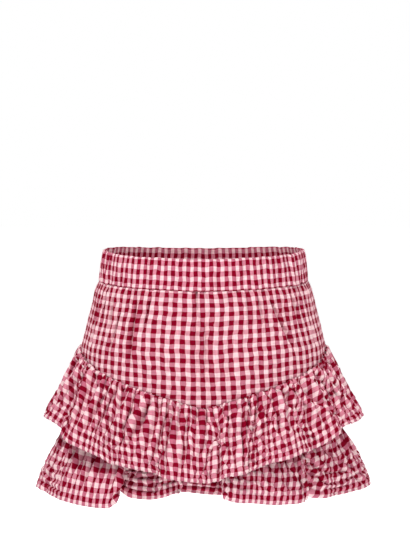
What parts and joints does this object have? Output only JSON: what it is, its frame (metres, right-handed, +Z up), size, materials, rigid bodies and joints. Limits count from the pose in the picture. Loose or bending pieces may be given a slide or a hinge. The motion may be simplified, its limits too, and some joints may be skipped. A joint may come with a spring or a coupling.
{
  "type": "ruffle skort",
  "caption": "Worn, filled-out gingham skort with an elasticated waistband, a V seam in front, gathered ruffles and shorts inside, open at waist and legs.",
  "frame": {"origin": "centre of the waist opening, level with the waistband's top edge at the side seams", "axes": "+Z up out of the waist opening, +X towards the wearer's left side seam, -Y out of the centre front"},
  "size_m": [0.366, 0.3018, 0.2665],
  "materials": {
    "waistband": "matt crinkled cotton, crimson and off-white gingham, gathered on elastic",
    "skirt": "matt crinkled cotton, crimson and off-white gingham",
    "under_panel": "matt crinkled cotton, crimson and off-white gingham",
    "ruffle": "matt crinkled cotton, crimson and off-white gingham, gathered, with a narrow turned hem",
    "shorts": "matt crinkled cotton, crimson and off-white gingham"
  },
  "bodies": {
    "root": {"waistband": "waistband", "yoke_front": "skirt", "yoke_back": "skirt", "under_panel_front": "under_panel", "under_panel_back": "under_panel", "top_ruffle_front": "ruffle", "top_ruffle_back": "ruffle", "lower_ruffle_front": "ruffle", "lower_ruffle_back": "ruffle", "shorts_left_front": "shorts", "shorts_left_back": "shorts", "shorts_right_front": "shorts", "shorts_right_back": "shorts"}
  },
  "joints": []
}
